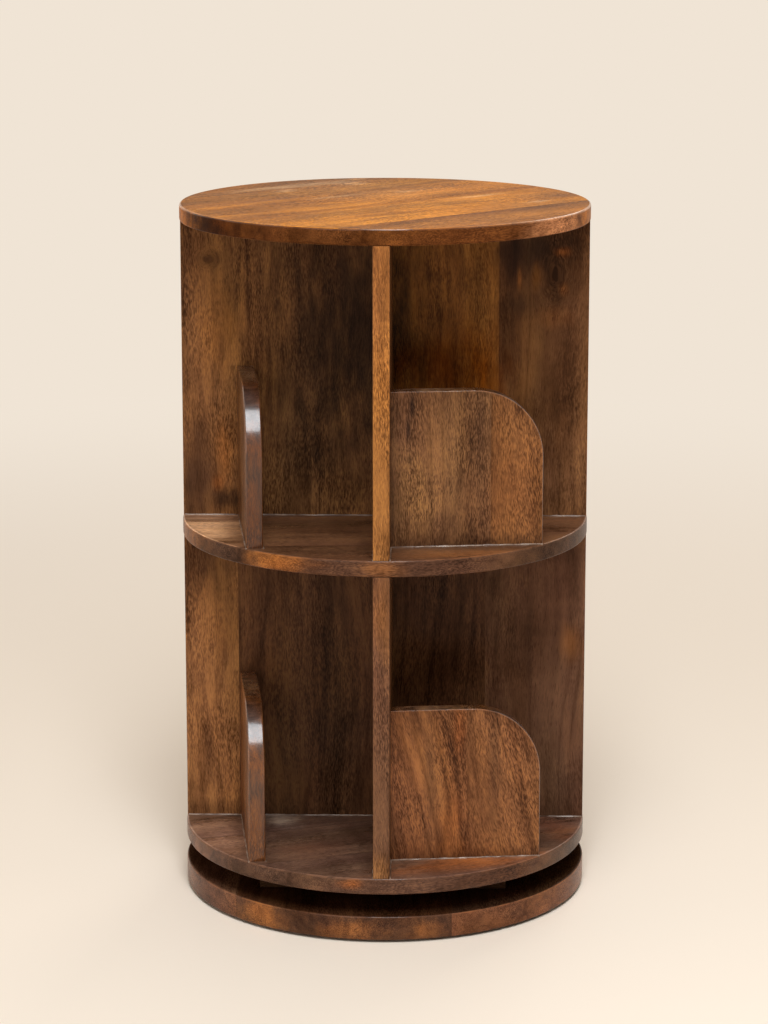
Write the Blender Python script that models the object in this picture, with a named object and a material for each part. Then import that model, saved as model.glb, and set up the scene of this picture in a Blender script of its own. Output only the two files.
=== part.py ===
"""Round two-tier revolving bookcase, in metres, +Z up, standing on the floor at z = 0, front at -Y.

Three round boards are held apart by walls that form a cross in each tier. The cabinet turns on a
square ball bearing, which lies on a packing block on the round base. Each tier has four low bookends
in a pinwheel: each is fixed to one wall, runs out to the rim beside the next one, and stands a few
degrees out of square, so that books are held between it and that next wall.
"""

import math

import bmesh
import bpy
from mathutils import Matrix, Vector

# Clearance between pieces that touch, glue line included
FIT = 0.0003

# Round boards
DISC_DIAMETER = 0.400
TOP_THICKNESS = 0.016
MIDDLE_THICKNESS = 0.016
BOTTOM_THICKNESS = 0.016
BASE_THICKNESS = 0.024
DISC_ARRIS = 0.0015

# Tiers and their cross of walls
LOWER_OPENING = 0.295
UPPER_OPENING = 0.295
WALL_THICKNESS = 0.016
WALL_SETBACK = 0.0005
WALL_ARRIS = 0.0008

# Bookends: the pocket is the clear width between a bookend and the wall beside it, at its fixed end
POCKET_WIDTH = 0.121
BOOKEND_HEIGHT = 0.150
BOOKEND_THICKNESS = 0.016
BOOKEND_CORNER_RADIUS = 0.065
BOOKEND_TURN = math.radians(6.5)
BOOKEND_SETBACK = 0.0005
BOOKEND_ARRIS = 0.0008

# Stub tongues on the walls and bookends: shares of the board they are housed in and of their own board
HOUSING_SHARE = 0.3
TONGUE_SHARE = 0.4
TONGUE_STOP = 0.025

# Dowels: into the end of the piece they hold, and a share of the wall that holds it
DOWEL_DIAMETER = 0.008
DOWEL_DEPTH = 0.020
DOWEL_SHARE = 0.4
BOOKEND_DOWEL_DROP = 0.055

# Square ball bearing
SWIVEL_SIDE = 0.230
SWIVEL_CORNER_RADIUS = 0.012
PLATE_THICKNESS = 0.0016
RACE_RADIUS = 0.085
RACE_DEPTH = 0.0004
BALL_DIAMETER = 0.005
BALL_COUNT = 12
CAGE_THICKNESS = 0.0016
CAGE_MARGIN = 0.004
COLLAR_RADIUS = 0.024
COLLAR_WALL = 0.0015
COLLAR_LIP = 0.004

# Packing block between base and bearing
BLOCK_THICKNESS = 0.013
BLOCK_MARGIN = 0.005
BLOCK_BORE_PLAY = 0.003

# Screws: pan heads, and the share of the last board that their points bite into
SCREW_SHANK_DIAMETER = 0.004
SCREW_HEAD_DIAMETER = 0.0084
SCREW_HEAD_HEIGHT = 0.0016
SCREW_HEAD_FLAT_SHARE = 0.7
SCREW_POINT = 0.004
SCREW_INSET = 0.015
SCREW_SHARE = 0.6
ACCESS_HOLE_DIAMETER = 0.018

# Felt pads under the base
PAD_DIAMETER = 0.030
PAD_THICKNESS = 0.002
PAD_INSET = 0.035
PAD_COUNT = 4

# Facets of a full turn, or of one corner, and the bevel profile that makes a corner a true arc
DISC_FACETS = 96
SWIVEL_FACETS = 36
SMALL_FACETS = 12
CORNER_FACETS = 10
PLATE_CORNER_FACETS = 4
ARC_SHARE = 0.5

# Edges over the first angle are eased and those over the second shaded sharp. A level face tilts less
# than the third
SHARP_ANGLE = math.radians(60.0)
SMOOTH_ANGLE = math.radians(30.0)
LEVEL_ANGLE = math.radians(5.0)
MERGE_DISTANCE = 1e-6

# Worked out from the sizes above
RIM_RADIUS = DISC_DIAMETER / 2
HALF_WALL = WALL_THICKNESS / 2
WALL_REACH = math.sqrt((RIM_RADIUS - WALL_SETBACK) ** 2 - HALF_WALL ** 2)
BALL_RADIUS = BALL_DIAMETER / 2
SCREW_REACH = SWIVEL_SIDE / 2 - SCREW_INSET

# Levels from the floor up
BASE_LOW = PAD_THICKNESS + FIT
BASE_HIGH = BASE_LOW + BASE_THICKNESS
BLOCK_LOW = BASE_HIGH + FIT
BLOCK_HIGH = BLOCK_LOW + BLOCK_THICKNESS
LOWER_PLATE_LOW = BLOCK_HIGH + FIT
LOWER_PLATE_HIGH = LOWER_PLATE_LOW + PLATE_THICKNESS
BALL_LEVEL = LOWER_PLATE_HIGH - RACE_DEPTH + FIT + BALL_RADIUS
UPPER_PLATE_LOW = 2 * BALL_LEVEL - LOWER_PLATE_HIGH
UPPER_PLATE_HIGH = UPPER_PLATE_LOW + PLATE_THICKNESS
BOTTOM_LOW = UPPER_PLATE_HIGH + FIT
BOTTOM_HIGH = BOTTOM_LOW + BOTTOM_THICKNESS
MIDDLE_LOW = BOTTOM_HIGH + LOWER_OPENING
MIDDLE_HIGH = MIDDLE_LOW + MIDDLE_THICKNESS
TOP_LOW = MIDDLE_HIGH + UPPER_OPENING

# The four quarters of the pinwheel, as quarter turns from the front right one
QUARTERS = {"front_right": 0, "back_right": 1, "back_left": 2, "front_left": 3}

# The walls of a tier: whether one runs right across, and its quarter turns from +X
WALLS = {"cross_wall": (True, 0), "front_divider": (False, -1), "back_divider": (False, 1)}


def finish(name, colour, roughness, metallic=0.0):
    """A plain material of one colour."""
    made = bpy.data.materials.new(name)
    made.use_nodes = True
    shader = made.node_tree.nodes["Principled BSDF"]
    shader.inputs["Base Color"].default_value = (*colour, 1.0)
    shader.inputs["Roughness"].default_value = roughness
    shader.inputs["Metallic"].default_value = metallic
    return made


def axis_empty(name, height):
    """An empty on the turning axis, which carries the pieces that move together."""
    made = bpy.data.objects.new(name, None)
    made.location.z = height
    bpy.context.collection.objects.link(made)
    return made


def add_object(name, shape, parent=None, material=None):
    """The finished shape as an object. Without a material it is a cutter, left out of renders."""
    bmesh.ops.recalc_face_normals(shape, faces=shape.faces)
    mesh = bpy.data.meshes.new(name)
    shape.to_mesh(mesh)
    shape.free()
    made = bpy.data.objects.new(name, mesh)
    bpy.context.collection.objects.link(made)
    if material:
        mesh.materials.append(material)
        mesh.shade_smooth()
        mesh.set_sharp_from_angle(angle=SMOOTH_ANGLE)
        made.parent = parent
        made.matrix_parent_inverse = parent.matrix_basis.inverted()
    else:
        made.hide_render = True
        made.display_type = "WIRE"
    return made


def combine(piece, tool, operation="DIFFERENCE"):
    """A live Boolean of the piece with a cutter or an added form."""
    modifier = piece.modifiers.new(tool.name, "BOOLEAN")
    modifier.operation = operation
    modifier.solver = "EXACT"
    modifier.object = tool


def add_box(shape, low, high, place=Matrix()):
    low = Vector(low)
    high = Vector(high)
    size = Matrix.Diagonal((*(high - low), 1.0))
    bmesh.ops.create_cube(shape, size=1.0, matrix=place @ Matrix.Translation((low + high) / 2) @ size)


def add_cylinder(shape, radius, low, high, facets, place=Matrix()):
    """A cylinder along local Z, from low to high."""
    middle = Matrix.Translation((0.0, 0.0, (low + high) / 2))
    bmesh.ops.create_cone(
        shape, cap_ends=True, segments=facets, radius1=radius, radius2=radius,
        depth=high - low, matrix=place @ middle,
    )


def add_turned(shape, profile, facets, closed):
    """A profile of (radius, height) points turned about Z: a closed ring, or a form with ends on the axis."""
    points = [shape.verts.new((radius, 0.0, height)) for radius, height in profile]
    pairs = list(zip(points, points[1:]))
    if closed:
        pairs.append((points[-1], points[0]))
    edges = [shape.edges.new(pair) for pair in pairs]
    bmesh.ops.spin(
        shape, geom=points + edges, cent=(0, 0, 0), axis=(0, 0, 1),
        angle=2 * math.pi, steps=facets, use_merge=True,
    )
    bmesh.ops.remove_doubles(shape, verts=shape.verts, dist=MERGE_DISTANCE)


def ease_arrises(shape, width):
    """A narrow chamfer on every sharp edge."""
    sharp = [edge for edge in shape.edges if edge.calc_face_angle(0.0) > SHARP_ANGLE]
    bmesh.ops.bevel(shape, geom=sharp, offset=width, segments=1, affect="EDGES", clamp_overlap=True)


def raise_tongue(shape, upward, span, centre, thickness, height):
    """A stub tongue on the widest level face that looks up or down, for housing in a board."""
    level = [face for face in shape.faces if face.normal.angle((0.0, 0.0, upward)) < LEVEL_ANGLE]
    seat = max(level, key=lambda face: face.calc_area())
    middle = seat.calc_center_median()
    bmesh.ops.inset_region(shape, faces=[seat], thickness=FIT)
    for corner in seat.verts:
        corner.co.x = span[1] if corner.co.x > middle.x else span[0]
        corner.co.y = centre + math.copysign(thickness / 2, corner.co.y - middle.y)
    raised = bmesh.ops.extrude_discrete_faces(shape, faces=[seat])["faces"]
    bmesh.ops.translate(shape, verts=raised[0].verts, vec=(0.0, 0.0, upward * height))


def quarter_turn(count):
    return Matrix.Rotation(count * math.pi / 2, 4, "Z")


def make_round_board(name, low, thickness, parent, material, cutters):
    """A round board with an eased rim."""
    shape = bmesh.new()
    add_cylinder(shape, RIM_RADIUS, 0.0, thickness, DISC_FACETS)
    ease_arrises(shape, DISC_ARRIS)
    board = add_object(name, shape, parent, material)
    board.location.z = low
    for cutter in cutters:
        combine(board, cutter)


def wall_span(cross):
    """Both ends of a wall along its own length: the cross wall runs right across, a divider from its face."""
    return (-WALL_REACH if cross else HALF_WALL + FIT, WALL_REACH)


def tongue_span(span):
    return (span[0] + TONGUE_STOP, span[1] - TONGUE_STOP)


def bookend_start():
    """The outer lower corner of the front right bookend at the wall that it is fixed to."""
    offset = HALF_WALL + POCKET_WIDTH + BOOKEND_THICKNESS / math.cos(BOOKEND_TURN)
    return Vector((HALF_WALL + FIT, -offset, 0.0))


def bookend_length():
    """From that corner along the bookend to the rim."""
    start = bookend_start()
    along = start.x * math.cos(BOOKEND_TURN) + start.y * math.sin(BOOKEND_TURN)
    reach = RIM_RADIUS - BOOKEND_SETBACK
    return -along + math.sqrt(along ** 2 - start.length_squared + reach ** 2)


def bookend_place(quarter, floor):
    """Where a bookend of one quarter stands: its own X runs out to the rim, its own Y into the pocket."""
    start = bookend_start()
    start.z = floor + FIT
    return quarter_turn(quarter) @ Matrix.Translation(start) @ Matrix.Rotation(BOOKEND_TURN, 4, "Z")


def bookend_tongue_span():
    mitre = BOOKEND_THICKNESS * math.tan(BOOKEND_TURN)
    return (mitre + TONGUE_STOP, bookend_length() - TONGUE_STOP)


def make_grooves(tier, floor, ceiling, floor_depth, ceiling_depth):
    """The housings of one tier's tongues, as one cutter for the boards below and above it."""
    shape = bmesh.new()
    half = WALL_THICKNESS * TONGUE_SHARE / 2 + FIT
    for cross, turn in WALLS.values():
        span = tongue_span(wall_span(cross))
        low = (span[0] - FIT, -half, floor - floor_depth)
        high = (span[1] + FIT, half, ceiling + ceiling_depth)
        add_box(shape, low, high, quarter_turn(turn))
    span = bookend_tongue_span()
    half = BOOKEND_THICKNESS * TONGUE_SHARE / 2 + FIT
    for quarter in QUARTERS.values():
        low = (span[0] - FIT, BOOKEND_THICKNESS / 2 - half, -FIT - floor_depth)
        high = (span[1] + FIT, BOOKEND_THICKNESS / 2 + half, BOOKEND_HEIGHT / 2)
        add_box(shape, low, high, bookend_place(quarter, floor))
    return add_object(f"{tier}_grooves", shape)


def dowel_places(floor, opening):
    """Each dowel of a tier by name. Its own Z points out of the wall that holds it, from that wall's face."""
    outward = Matrix.Rotation(math.pi / 2, 4, "Y")
    across = BOOKEND_THICKNESS / math.cos(BOOKEND_TURN) / 2
    height = floor + FIT + BOOKEND_HEIGHT - BOOKEND_DOWEL_DROP
    at_bookend = Matrix.Translation((HALF_WALL, bookend_start().y + across, height)) @ outward
    places = {f"bookend_{name}_dowel": quarter_turn(turn) @ at_bookend for name, turn in QUARTERS.items()}
    at_divider = Matrix.Translation((HALF_WALL, 0.0, floor + opening / 2)) @ outward
    places["front_divider_dowel"] = quarter_turn(-1) @ at_divider
    places["back_divider_dowel"] = quarter_turn(1) @ at_divider
    return places


def make_dowels(tier, floor, opening, parent, material):
    """The tier's dowels, and their holes as one cutter."""
    radius = DOWEL_DIAMETER / 2
    depth = WALL_THICKNESS * DOWEL_SHARE
    holes = bmesh.new()
    for name, place in dowel_places(floor, opening).items():
        shape = bmesh.new()
        add_cylinder(shape, radius, -depth, DOWEL_DEPTH, SMALL_FACETS)
        dowel = add_object(f"{tier}_{name}", shape, parent, material)
        dowel.matrix_basis = place
        add_cylinder(holes, radius + FIT, -depth - FIT, DOWEL_DEPTH + FIT, SMALL_FACETS, place)
    return add_object(f"{tier}_dowel_holes", holes)


def make_wall(name, cross, turn, floor, opening, depths, parent, material, holes):
    """One wall of a tier, with a stub tongue housed in the board below and one in the board above."""
    span = wall_span(cross)
    shape = bmesh.new()
    add_box(shape, (span[0], -HALF_WALL, 0.0), (span[1], HALF_WALL, opening - 2 * FIT))
    ease_arrises(shape, WALL_ARRIS)
    thickness = WALL_THICKNESS * TONGUE_SHARE
    for upward, depth in zip((-1, 1), depths):
        raise_tongue(shape, upward, tongue_span(span), 0.0, thickness, depth)
    wall = add_object(name, shape, parent, material)
    wall.matrix_basis = quarter_turn(turn)
    wall.location.z = floor + FIT
    combine(wall, holes)


def make_bookend(name, quarter, floor, depth, parent, material, holes):
    """A low board with one round upper corner, mitred to lie flat against its wall."""
    length = bookend_length()
    radius = BOOKEND_CORNER_RADIUS
    arc = [
        (length - radius + radius * math.cos(angle), BOOKEND_HEIGHT - radius + radius * math.sin(angle))
        for angle in (step * math.pi / 2 / CORNER_FACETS for step in range(CORNER_FACETS + 1))
    ]
    shape = bmesh.new()
    sides = []
    for across in (0.0, BOOKEND_THICKNESS):
        mitre = across * math.tan(BOOKEND_TURN)
        outline = [(mitre, 0.0), (length, 0.0), *arc, (mitre, BOOKEND_HEIGHT)]
        sides.append(shape.faces.new([shape.verts.new((along, across, up)) for along, up in outline]))
    bmesh.ops.bridge_loops(shape, edges=[edge for side in sides for edge in side.edges])
    bmesh.ops.recalc_face_normals(shape, faces=shape.faces)
    ease_arrises(shape, BOOKEND_ARRIS)
    raise_tongue(
        shape, -1, bookend_tongue_span(), BOOKEND_THICKNESS / 2, BOOKEND_THICKNESS * TONGUE_SHARE, depth
    )
    bookend = add_object(name, shape, parent, material)
    bookend.matrix_basis = bookend_place(quarter, floor)
    combine(bookend, holes)


def make_tier(tier, floor, opening, depths, parent, wall_stain, bookend_stain, birch):
    """The walls, bookends and dowels of one tier. Returns the cutter for the boards around it."""
    holes = make_dowels(tier, floor, opening, parent, birch)
    for name, (cross, turn) in WALLS.items():
        make_wall(f"{tier}_{name}", cross, turn, floor, opening, depths, parent, wall_stain, holes)
    for name, quarter in QUARTERS.items():
        make_bookend(f"{tier}_bookend_{name}", quarter, floor, depths[0], parent, bookend_stain, holes)
    return make_grooves(tier, floor, floor + opening, depths[0] + FIT, depths[1] + FIT)


def corner_places():
    """The four screw positions of a bearing plate."""
    return [
        Vector((right * SCREW_REACH, back * SCREW_REACH, 0.0))
        for right, back in ((1, -1), (1, 1), (-1, 1), (-1, -1))
    ]


def make_screws(name, seat, upward, grip, parent, material):
    """Four pan-head screws whose heads sit at one level, and their holes as one cutter."""
    shank = SCREW_SHANK_DIAMETER / 2
    head = SCREW_HEAD_DIAMETER / 2
    profile = [
        (0.0, -SCREW_HEAD_HEIGHT), (head * SCREW_HEAD_FLAT_SHARE, -SCREW_HEAD_HEIGHT),
        (head, -SCREW_HEAD_HEIGHT / 2), (head, 0.0),
        (shank, 0.0), (shank, grip - SCREW_POINT), (0.0, grip),
    ]
    aim = Matrix() if upward > 0 else Matrix.Rotation(math.pi, 4, "X")
    holes = bmesh.new()
    for number, corner in enumerate(corner_places(), start=1):
        place = Matrix.Translation((corner.x, corner.y, seat)) @ aim
        shape = bmesh.new()
        add_turned(shape, profile, SMALL_FACETS, closed=False)
        screw = add_object(f"{name}_screw_{number}", shape, parent, material)
        screw.matrix_basis = place
        add_cylinder(holes, shank + FIT, -FIT, grip + FIT, SMALL_FACETS, place)
    return add_object(f"{name}_screw_holes", holes)


def add_rounded_plate(shape, low, high):
    """A bearing plate: a square sheet with rounded corners."""
    half = SWIVEL_SIDE / 2
    add_box(shape, (-half, -half, low), (half, half, high))
    upright = [edge for edge in shape.edges if edge.verts[0].co.xy == edge.verts[1].co.xy]
    bmesh.ops.bevel(
        shape, geom=upright, offset=SWIVEL_CORNER_RADIUS, segments=PLATE_CORNER_FACETS,
        profile=ARC_SHARE, affect="EDGES", clamp_overlap=True,
    )


def make_race_cutter():
    """Both ball races as one ring, which bites into both plates."""
    shape = bmesh.new()
    half = BALL_RADIUS + FIT
    low = LOWER_PLATE_HIGH - RACE_DEPTH
    high = UPPER_PLATE_LOW + RACE_DEPTH
    inner = RACE_RADIUS - half
    outer = RACE_RADIUS + half
    add_turned(shape, [(inner, low), (outer, low), (outer, high), (inner, high)], SWIVEL_FACETS, closed=True)
    return add_object("ball_races", shape)


def make_lower_plate(parent, steel, cutters):
    """The fixed bearing plate, open in the middle for the collar of the upper one."""
    shape = bmesh.new()
    add_rounded_plate(shape, LOWER_PLATE_LOW, LOWER_PLATE_HIGH)
    plate = add_object("swivel_lower_plate", shape, parent, steel)
    opening = bmesh.new()
    add_cylinder(opening, COLLAR_RADIUS + FIT, BLOCK_LOW, UPPER_PLATE_LOW, SWIVEL_FACETS)
    for cutter in (*cutters, add_object("collar_opening", opening)):
        combine(plate, cutter)


def make_upper_plate(parent, steel, cutters):
    """The turning bearing plate. Its rolled collar reaches through the lower plate and hooks under it."""
    shape = bmesh.new()
    add_rounded_plate(shape, UPPER_PLATE_LOW, UPPER_PLATE_HIGH)
    plate = add_object("swivel_upper_plate", shape, parent, steel)
    inner = COLLAR_RADIUS - COLLAR_WALL
    lip_high = LOWER_PLATE_LOW - FIT
    lip_low = lip_high - COLLAR_WALL
    root = UPPER_PLATE_LOW + PLATE_THICKNESS / 2
    lip = COLLAR_RADIUS + COLLAR_LIP
    profile = [
        (inner, lip_low), (lip, lip_low), (lip, lip_high), (COLLAR_RADIUS, lip_high),
        (COLLAR_RADIUS, root), (inner, root),
    ]
    ring = bmesh.new()
    add_turned(ring, profile, SWIVEL_FACETS, closed=True)
    opening = bmesh.new()
    add_cylinder(opening, inner - COLLAR_WALL, UPPER_PLATE_LOW - FIT, UPPER_PLATE_HIGH + FIT, SWIVEL_FACETS)
    combine(plate, add_object("rolled_collar", ring), "UNION")
    for cutter in (*cutters, add_object("upper_plate_opening", opening)):
        combine(plate, cutter)


def make_ball_ring(parent, steel, cage_finish):
    """The balls between the plates, and the flat cage that keeps them apart."""
    pockets = bmesh.new()
    for number in range(BALL_COUNT):
        angle = 2 * math.pi * (number + 0.5) / BALL_COUNT
        place = Matrix.Translation((RACE_RADIUS * math.cos(angle), RACE_RADIUS * math.sin(angle), BALL_LEVEL))
        shape = bmesh.new()
        bmesh.ops.create_icosphere(shape, subdivisions=2, radius=BALL_RADIUS)
        ball = add_object(f"swivel_ball_{number + 1:02d}", shape, parent, steel)
        ball.matrix_basis = place
        add_cylinder(pockets, BALL_RADIUS + FIT, -CAGE_THICKNESS, CAGE_THICKNESS, SMALL_FACETS, place)
    half = CAGE_THICKNESS / 2
    inner = RACE_RADIUS - BALL_RADIUS - CAGE_MARGIN
    outer = RACE_RADIUS + BALL_RADIUS + CAGE_MARGIN
    shape = bmesh.new()
    profile = [(inner, -half), (outer, -half), (outer, half), (inner, half)]
    add_turned(shape, profile, SWIVEL_FACETS, closed=True)
    cage = add_object("swivel_ball_cage", shape, parent, cage_finish)
    cage.location.z = BALL_LEVEL
    combine(cage, add_object("ball_pockets", pockets))


def make_packing_block(parent, stain, cutters):
    """The square board that lifts the bearing clear of the base, bored for the bearing's collar."""
    half = SWIVEL_SIDE / 2 + BLOCK_MARGIN
    shape = bmesh.new()
    add_box(shape, (-half, -half, BLOCK_LOW), (half, half, BLOCK_HIGH))
    ease_arrises(shape, WALL_ARRIS)
    block = add_object("packing_block", shape, parent, stain)
    bore = bmesh.new()
    radius = COLLAR_RADIUS + COLLAR_LIP + BLOCK_BORE_PLAY
    add_cylinder(bore, radius, BLOCK_LOW - FIT, BLOCK_HIGH + FIT, SWIVEL_FACETS)
    for cutter in (*cutters, add_object("packing_bore", bore)):
        combine(block, cutter)


def make_access_hole():
    """The hole through the base by which the upper plate's screws are driven when the cabinet is turned."""
    shape = bmesh.new()
    place = Matrix.Translation((0.0, corner_places()[0].length, 0.0))
    add_cylinder(shape, ACCESS_HOLE_DIAMETER / 2, BASE_LOW - FIT, BASE_HIGH + FIT, SWIVEL_FACETS, place)
    return add_object("screw_access_hole", shape)


def make_pads(parent, felt):
    """The felt pads that the bookcase stands on."""
    reach = RIM_RADIUS - PAD_INSET
    for number in range(PAD_COUNT):
        shape = bmesh.new()
        add_cylinder(shape, PAD_DIAMETER / 2, 0.0, PAD_THICKNESS, SWIVEL_FACETS)
        pad = add_object(f"felt_pad_{number + 1}", shape, parent, felt)
        angle = 2 * math.pi * (number + 0.5) / PAD_COUNT
        pad.location = (reach * math.cos(angle), reach * math.sin(angle), 0.0)


def build():
    for old in list(bpy.data.objects):
        bpy.data.objects.remove(old, do_unlink=True)

    top_stain = finish("top_stain", (0.40, 0.17, 0.055), 0.32)
    shelf_stain = finish("shelf_stain", (0.20, 0.085, 0.035), 0.36)
    wall_stain = finish("wall_stain", (0.15, 0.062, 0.025), 0.38)
    bookend_stain = finish("bookend_stain", (0.19, 0.075, 0.030), 0.36)
    base_stain = finish("base_stain", (0.15, 0.065, 0.032), 0.38)
    block_stain = finish("block_stain", (0.04, 0.022, 0.012), 0.55)
    birch = finish("dowel_birch", (0.62, 0.45, 0.27), 0.60)
    zinc = finish("zinc_steel", (0.52, 0.53, 0.54), 0.34, 1.0)
    ball_steel = finish("ball_steel", (0.60, 0.60, 0.61), 0.16, 1.0)
    cage_finish = finish("cage_plastic", (0.03, 0.03, 0.032), 0.50)
    felt = finish("pad_felt", (0.05, 0.042, 0.036), 0.95)

    base = axis_empty("base_axis", 0.0)
    ball_ring = axis_empty("ball_ring_axis", BALL_LEVEL)
    cabinet = axis_empty("cabinet_axis", BALL_LEVEL)

    races = make_race_cutter()
    lower_grip = FIT + PLATE_THICKNESS + FIT + BLOCK_THICKNESS + FIT + BASE_THICKNESS * SCREW_SHARE
    lower_holes = make_screws("lower_plate", LOWER_PLATE_HIGH + FIT, -1, lower_grip, base, zinc)
    make_pads(base, felt)
    make_round_board(
        "base_disc", BASE_LOW, BASE_THICKNESS, base, base_stain, [lower_holes, make_access_hole()]
    )
    make_packing_block(base, block_stain, [lower_holes])
    make_lower_plate(base, zinc, [races, lower_holes])

    make_ball_ring(ball_ring, ball_steel, cage_finish)

    upper_grip = FIT + PLATE_THICKNESS + FIT + BOTTOM_THICKNESS * SCREW_SHARE
    upper_holes = make_screws("upper_plate", UPPER_PLATE_LOW - FIT, 1, upper_grip, cabinet, zinc)
    make_upper_plate(cabinet, zinc, [races, upper_holes])

    into_bottom = BOTTOM_THICKNESS * HOUSING_SHARE
    into_middle = MIDDLE_THICKNESS * HOUSING_SHARE
    into_top = TOP_THICKNESS * HOUSING_SHARE
    stains = (wall_stain, bookend_stain, birch)
    lower_grooves = make_tier(
        "lower", BOTTOM_HIGH, LOWER_OPENING, (into_bottom, into_middle), cabinet, *stains
    )
    upper_grooves = make_tier("upper", MIDDLE_HIGH, UPPER_OPENING, (into_middle, into_top), cabinet, *stains)
    make_round_board(
        "bottom_shelf", BOTTOM_LOW, BOTTOM_THICKNESS, cabinet, shelf_stain, [upper_holes, lower_grooves]
    )
    make_round_board(
        "middle_shelf", MIDDLE_LOW, MIDDLE_THICKNESS, cabinet, shelf_stain, [lower_grooves, upper_grooves]
    )
    make_round_board("top_panel", TOP_LOW, TOP_THICKNESS, cabinet, top_stain, [upper_grooves])


build()
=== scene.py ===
"""Looks of the round revolving bookcase: finer boards, their stain and lacquer, floor, light and camera.

Metres, +Z up, front at -Y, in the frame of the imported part. Every board stands where its CAD node stands.
"""

import math

import bpy
from mathutils import Matrix, Vector


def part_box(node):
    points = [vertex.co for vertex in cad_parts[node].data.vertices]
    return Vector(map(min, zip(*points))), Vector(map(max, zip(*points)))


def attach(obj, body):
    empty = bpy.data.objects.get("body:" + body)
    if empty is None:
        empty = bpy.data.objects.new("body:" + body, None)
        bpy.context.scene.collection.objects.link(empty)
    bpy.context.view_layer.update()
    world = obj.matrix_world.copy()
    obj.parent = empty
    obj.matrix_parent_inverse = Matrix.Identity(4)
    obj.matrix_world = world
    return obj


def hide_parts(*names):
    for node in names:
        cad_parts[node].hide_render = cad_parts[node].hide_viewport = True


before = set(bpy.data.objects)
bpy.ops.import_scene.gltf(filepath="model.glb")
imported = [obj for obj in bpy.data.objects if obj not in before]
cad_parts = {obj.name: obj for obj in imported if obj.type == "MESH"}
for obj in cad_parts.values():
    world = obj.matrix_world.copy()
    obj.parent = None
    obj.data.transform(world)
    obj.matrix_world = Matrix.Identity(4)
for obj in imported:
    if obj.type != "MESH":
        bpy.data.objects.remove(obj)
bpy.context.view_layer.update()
bpy.ops.object.select_all(action="DESELECT")


# Felt pads: four round pads of pressed wool felt under the base, so that it stands quietly on a floor.
# They are punched from sheet and glued on, and their CAD nodes stay in view.

def add_node(tree, kind, inputs=(), **settings):
    """A shader node. An input that is given a socket is linked to it, any other is set."""
    made = tree.nodes.new(kind)
    for name, value in settings.items():
        setattr(made, name, value)
    for key, value in dict(inputs).items():
        if isinstance(value, bpy.types.NodeSocket):
            tree.links.new(value, made.inputs[key])
        else:
            made.inputs[key].default_value = value
    return made


def calc(tree, operation, *values):
    """The result of a sum on numbers or sockets."""
    return add_node(tree, "ShaderNodeMath", enumerate(values), operation=operation).outputs[0]


def calc_vector(tree, operation, *values):
    """The result of a sum on vectors."""
    made = add_node(tree, "ShaderNodeVectorMath", enumerate(values), operation=operation)
    return made.outputs["Value" if operation == "LENGTH" else "Vector"]


def scale(tree, vector, factor):
    """A vector times a number."""
    return add_node(tree, "ShaderNodeVectorMath", {0: vector, "Scale": factor}, operation="SCALE").outputs[0]


def noise(tree, vector, stretch, detail=2.0, rough=0.5):
    """A noise texture with its own number of features to the metre in each direction."""
    scaled = calc_vector(tree, "MULTIPLY", vector, stretch)
    return add_node(
        tree, "ShaderNodeTexNoise", {"Vector": scaled, "Scale": 1.0, "Detail": detail, "Roughness": rough}
    )


def ramp(tree, value, low, high, start=0.0, end=1.0):
    """A value from low to high, mapped smoothly to the range from start to end."""
    inputs = {"Value": value, "From Min": low, "From Max": high, "To Min": start, "To Max": end}
    return add_node(tree, "ShaderNodeMapRange", inputs, interpolation_type="SMOOTHSTEP").outputs[0]


def mix(tree, share, first, second, blend="MIX"):
    """The first colour with a share of the second."""
    made = add_node(tree, "ShaderNodeMix", {0: share, 6: first, 7: second}, data_type="RGBA", blend_type=blend)
    return made.outputs[2]


def tone(red, green, blue):
    """A colour written as it shows on a screen, from 0 to 255."""
    parts = (red / 255, green / 255, blue / 255)
    return (*(part / 12.92 if part < 0.04045 else ((part + 0.055) / 1.055) ** 2.4 for part in parts), 1.0)


def start_finish(name):
    """A new material. Returns it with its node tree, its shader and the Object coordinates."""
    material = bpy.data.materials.new(name)
    material.use_nodes = True
    tree = material.node_tree
    return material, tree, tree.nodes["Principled BSDF"], add_node(tree, "ShaderNodeTexCoord").outputs["Object"]


def emboss(tree, shader, height, strength, depth):
    """Fine relief on a shader, from a height of 0 to 1 over a depth in metres."""
    inputs = {"Strength": strength, "Distance": depth, "Height": height}
    tree.links.new(add_node(tree, "ShaderNodeBump", inputs).outputs[0], shader.inputs["Normal"])


def dress(material, *nodes):
    """Gives a finish to CAD nodes that stay in view."""
    for node in nodes:
        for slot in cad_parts[node].material_slots:
            slot.material = material


felt_finish, felt, felt_shader, here = start_finish("felt_finish")
fibres = noise(felt, here, (1400, 1400, 500), 3, 0.7).outputs[0]
tufts = noise(felt, here, (160, 160, 160), 2).outputs[0]
felted = mix(felt, ramp(felt, fibres, 0.3, 0.7), tone(44, 36, 31), tone(96, 84, 74))
felted = mix(felt, ramp(felt, tufts, 0.45, 0.7, 0.0, 0.5), felted, tone(60, 50, 43))
felt.links.new(felted, felt_shader.inputs["Base Color"])
felt.links.new(ramp(felt, tufts, 0.3, 0.7, 0.88, 1.0), felt_shader.inputs["Roughness"])
felt_shader.inputs["Specular IOR Level"].default_value = 0.1
emboss(felt, felt_shader, fibres, strength=0.7, depth=0.0006)
dress(felt_finish, *(f"felt_pad_{number}" for number in range(1, 5)))


# Base disc: the round foot that stays on the floor while the cabinet turns. Wide boards of solid wood are
# glued edge to edge and sawn round. The rim is eased by hand, a hole is drilled through which the bearing's
# upper screws are driven, then everything is stained and lacquered.

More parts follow.
